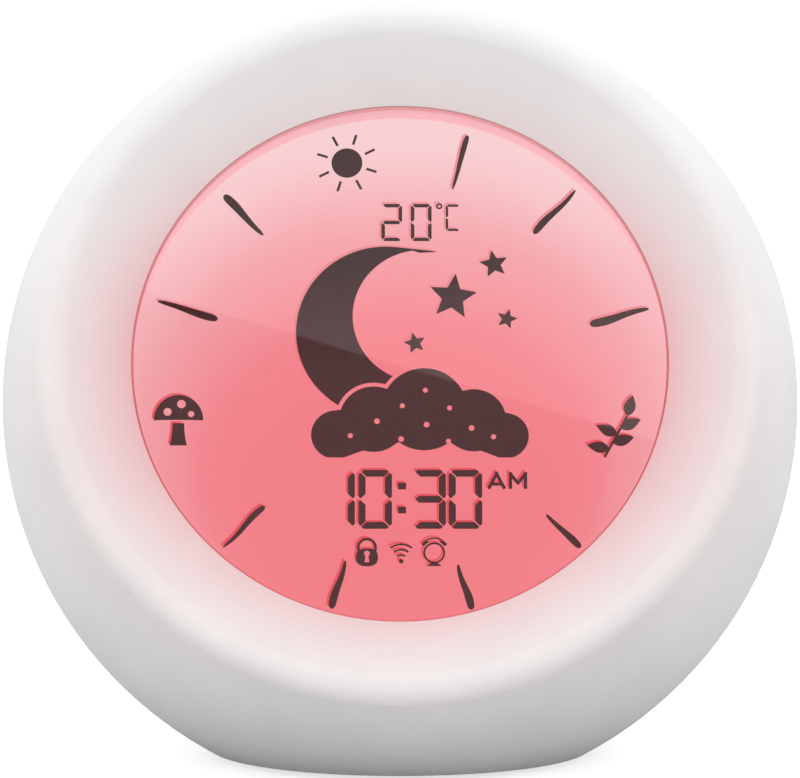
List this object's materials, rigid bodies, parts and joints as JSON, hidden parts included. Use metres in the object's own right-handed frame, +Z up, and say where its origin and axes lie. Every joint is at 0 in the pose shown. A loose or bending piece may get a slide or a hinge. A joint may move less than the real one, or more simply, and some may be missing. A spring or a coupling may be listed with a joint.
{
  "type": "sleep trainer clock",
  "caption": "Ball-shaped children's sleep trainer clock with a tilted round back-lit display in a funnel bezel, and keys, loudspeaker and battery door in a flat back.",
  "frame": {"origin": "middle of the rubber pad's resting face, under the ball's centre", "axes": "+Z up, the dial faces -Y and leans back, +X to the viewer's right"},
  "size_m": [0.14, 0.089, 0.1322],
  "materials": {
    "shell": "satin milky moulding",
    "rubber": "matt",
    "lens": "polished clear acrylic",
    "gasket": "matt",
    "frame": "satin milky moulding",
    "display": "polished panes, lit from behind",
    "diffuser": "opal sheet",
    "white_sheet": "matt",
    "lamp": "clear casting",
    "zebra": "matt",
    "board": "solder mask",
    "chip": "moulded epoxy",
    "can_metal": "tinned",
    "component": "moulded",
    "screw": "zinc plated",
    "key": "satin moulding",
    "plunger": "moulded",
    "knob": "satin moulding",
    "inlet": "tinned shell",
    "cable": "flat cable",
    "basket": "black paint",
    "cone": "pressed paper",
    "magnet": "sintered",
    "contact": "nickel plated",
    "cell": "nickel plated can"
  },
  "bodies": {
    "clock": {"front_shell": "shell", "rear_shell": "shell", "base_pad": "rubber", "housing_screws": "screw", "dial_lens": "lens", "lens_gasket": "gasket", "display_frame": "frame", "lcd_panel": "display", "diffuser": "diffuser", "reflector_sheet": "white_sheet", "backlight_leds": "lamp", "zebra_strip": "zebra", "main_board": "board", "controller_chip": "chip", "radio_module": "can_metal", "board_parts": "component", "frame_screws": "screw", "board_screws": "screw", "control_board": "board", "control_screws": "screw", "switch_bodies": "chip", "lock_switch": "chip", "usb_jack": "inlet", "thermistor": "component", "link_cable": "cable", "speaker_grille": "shell", "speaker_basket": "basket", "speaker_cone": "cone", "speaker_magnet": "magnet", "speaker_screws": "screw", "battery_tray": "shell", "battery_contacts": "contact", "coin_cell": "cell"},
    "light_key": {"light_button": "key", "light_plunger": "plunger"},
    "sound_key": {"sound_button": "key", "sound_plunger": "plunger"},
    "alarm_key": {"alarm_button": "key", "alarm_plunger": "plunger"},
    "minus_key": {"minus_button": "key", "minus_plunger": "plunger"},
    "plus_key": {"plus_button": "key", "plus_plunger": "plunger"},
    "lock": {"lock_knob": "knob"},
    "door": {"battery_door": "shell"}
  },
  "joints": [
    {"name": "light_press", "type": "slide", "parent": "clock", "child": "light_key", "axis": [0, -1, 0], "range_m": [0, 0.0006], "stiffness_N_per_m": 1500},
    {"name": "sound_press", "type": "slide", "parent": "clock", "child": "sound_key", "axis": [0, -1, 0], "range_m": [0, 0.0006], "stiffness_N_per_m": 1500},
    {"name": "alarm_press", "type": "slide", "parent": "clock", "child": "alarm_key", "axis": [0, -1, 0], "range_m": [0, 0.0006], "stiffness_N_per_m": 1500},
    {"name": "minus_press", "type": "slide", "parent": "clock", "child": "minus_key", "axis": [0, -1, 0], "range_m": [0, 0.0006], "stiffness_N_per_m": 1500},
    {"name": "plus_press", "type": "slide", "parent": "clock", "child": "plus_key", "axis": [0, -1, 0], "range_m": [0, 0.0006], "stiffness_N_per_m": 1500},
    {"name": "lock_slide", "type": "slide", "parent": "clock", "child": "lock", "axis": [-1, 0, 0], "range_m": [0, 0.004]},
    {"name": "door_hinge", "type": "hinge", "parent": "clock", "child": "door", "pos_m": [0, 0.0328, 0.01212], "axis": [-1, 0, 0], "range_deg": [0, 95]}
  ]
}
